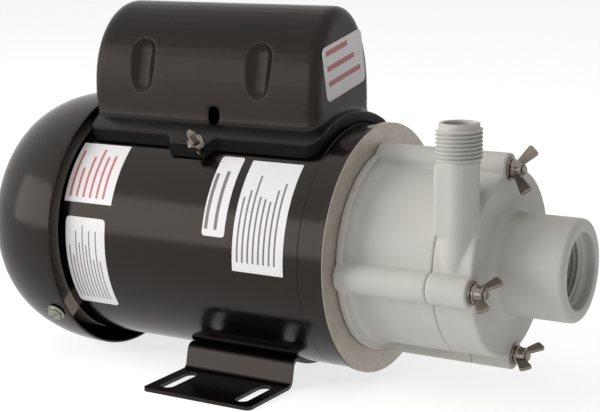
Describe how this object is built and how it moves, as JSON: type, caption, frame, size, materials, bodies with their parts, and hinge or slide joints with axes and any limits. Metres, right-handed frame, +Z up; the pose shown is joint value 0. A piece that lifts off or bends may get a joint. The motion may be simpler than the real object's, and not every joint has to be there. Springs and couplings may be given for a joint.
{
  "type": "magnetic drive pump",
  "caption": "Fan-cooled motor on a slotted sheet foot, with a plastic pump head clamped by wing nuts and driven through a sealed magnet coupling.",
  "frame": {"origin": "on the floor plane under the foot, at the centre of the four foot slots", "axes": "+Z up, -Y along the shaft towards the inlet, +X across the foot away from the discharge pipe"},
  "size_m": [0.1434, 0.3117, 0.1872],
  "materials": {
    "black_paint": "semi-gloss",
    "cast_bell": "as cast",
    "pump_plastic": "moulded satin",
    "nickel_hardware": "nickel plated",
    "zinc_steel": "zinc plated",
    "shaft_steel": "ground",
    "lamination_steel": "stacked sheet",
    "copper_winding": "varnished",
    "cage_aluminium": "cast",
    "black_rubber": "matt",
    "ceramic": "polished",
    "magnet": "sintered",
    "impeller_plastic": "moulded",
    "fan_plastic": "moulded",
    "capacitor_can": "drawn",
    "lead_insulation": "gloss",
    "sticker": "blank"
  },
  "bodies": {
    "pump_frame": {"motor_shell": "black_paint", "fan_cover": "black_paint", "mounting_foot": "black_paint", "capacitor_cover": "black_paint", "front_end_bell": "cast_bell", "rear_end_bell": "cast_bell", "pump_bracket": "pump_plastic", "rear_housing": "pump_plastic", "pump_housing": "pump_plastic", "clamp_studs": "nickel_hardware", "cover_studs": "nickel_hardware", "cover_nuts": "nickel_hardware", "through_bolts": "zinc_steel", "fan_cover_screws": "zinc_steel", "bracket_screws": "zinc_steel", "capacitor_straps": "zinc_steel", "bearing_wave_washer": "zinc_steel", "front_bearing_outer": "shaft_steel", "rear_bearing_outer": "shaft_steel", "stator_core": "lamination_steel", "stator_windings": "copper_winding", "cover_gasket": "black_rubber", "wire_grommet": "black_rubber", "cord_inlet_grommet": "black_rubber", "housing_seal": "black_rubber", "impeller_spindle": "ceramic", "front_thrust_washer": "ceramic", "rear_thrust_washer": "ceramic", "thermal_protector": "fan_plastic", "capacitor": "capacitor_can", "capacitor_leads": "lead_insulation", "shell_stickers": "sticker", "cover_sticker": "sticker"},
    "rotor": {"motor_shaft": "shaft_steel", "rotor_core": "lamination_steel", "rotor_cage": "cage_aluminium", "front_bearing_inner": "shaft_steel", "rear_bearing_inner": "shaft_steel", "cooling_fan": "fan_plastic", "fan_clip": "zinc_steel", "drive_magnet_cup": "zinc_steel", "drive_magnets": "magnet", "hub_set_screw": "zinc_steel"},
    "impeller_set": {"impeller": "impeller_plastic", "impeller_magnet": "magnet", "magnet_jacket": "impeller_plastic", "impeller_bushing": "impeller_plastic"},
    "front_ball_set": {"front_bearing_balls": "shaft_steel"},
    "rear_ball_set": {"rear_bearing_balls": "shaft_steel"},
    "washer_right": {"wing_washer_right": "nickel_hardware"},
    "nut_right": {"wing_nut_right": "nickel_hardware"},
    "washer_top": {"wing_washer_top": "nickel_hardware"},
    "nut_top": {"wing_nut_top": "nickel_hardware"},
    "washer_left": {"wing_washer_left": "nickel_hardware"},
    "nut_left": {"wing_nut_left": "nickel_hardware"},
    "washer_bottom": {"wing_washer_bottom": "nickel_hardware"},
    "nut_bottom": {"wing_nut_bottom": "nickel_hardware"}
  },
  "joints": [
    {"name": "rotor_spin", "type": "hinge", "parent": "pump_frame", "child": "rotor", "pos_m": [0, -0.067, 0.069], "axis": [0, -1, 0], "continuous": true},
    {"name": "impeller_spin", "type": "hinge", "parent": "pump_frame", "child": "impeller_set", "pos_m": [0, -0.067, 0.069], "axis": [0, -1, 0], "continuous": true},
    {"name": "front_ball_roll", "type": "hinge", "parent": "pump_frame", "child": "front_ball_set", "pos_m": [0, -0.067, 0.069], "axis": [0, -1, 0], "continuous": true},
    {"name": "rear_ball_roll", "type": "hinge", "parent": "pump_frame", "child": "rear_ball_set", "pos_m": [0, -0.067, 0.069], "axis": [0, -1, 0], "continuous": true},
    {"name": "right_washer_lift", "type": "slide", "parent": "pump_frame", "child": "washer_right", "axis": [0, -1, 0], "range_m": [0, 0.00423]},
    {"name": "right_nut_turn", "type": "hinge", "parent": "washer_right", "child": "nut_right", "pos_m": [0.04582, -0.136, 0.07301], "axis": [0, -1, 0], "range_deg": [0, 1443]},
    {"name": "top_washer_lift", "type": "slide", "parent": "pump_frame", "child": "washer_top", "axis": [0, -1, 0], "range_m": [0, 0.00423]},
    {"name": "top_nut_turn", "type": "hinge", "parent": "washer_top", "child": "nut_top", "pos_m": [-0.00401, -0.136, 0.11482], "axis": [0, -1, 0], "range_deg": [0, 1443]},
    {"name": "left_washer_lift", "type": "slide", "parent": "pump_frame", "child": "washer_left", "axis": [0, -1, 0], "range_m": [0, 0.00423]},
    {"name": "left_nut_turn", "type": "hinge", "parent": "washer_left", "child": "nut_left", "pos_m": [-0.04582, -0.136, 0.06499], "axis": [0, -1, 0], "range_deg": [0, 1443]},
    {"name": "bottom_washer_lift", "type": "slide", "parent": "pump_frame", "child": "washer_bottom", "axis": [0, -1, 0], "range_m": [0, 0.00423]},
    {"name": "bottom_nut_turn", "type": "hinge", "parent": "washer_bottom", "child": "nut_bottom", "pos_m": [0.00401, -0.136, 0.02318], "axis": [0, -1, 0], "range_deg": [0, 1443]}
  ],
  "couplings": [
    {"joint": "impeller_spin", "follows": "rotor_spin", "ratio": 1},
    {"joint": "front_ball_roll", "follows": "rotor_spin", "ratio": 0.3671},
    {"joint": "rear_ball_roll", "follows": "rotor_spin", "ratio": 0.3671},
    {"joint": "right_nut_turn", "follows": "right_washer_lift", "rad_per_m": 5938.7},
    {"joint": "top_nut_turn", "follows": "top_washer_lift", "rad_per_m": 5938.7},
    {"joint": "left_nut_turn", "follows": "left_washer_lift", "rad_per_m": 5938.7},
    {"joint": "bottom_nut_turn", "follows": "bottom_washer_lift", "rad_per_m": 5938.7}
  ]
}
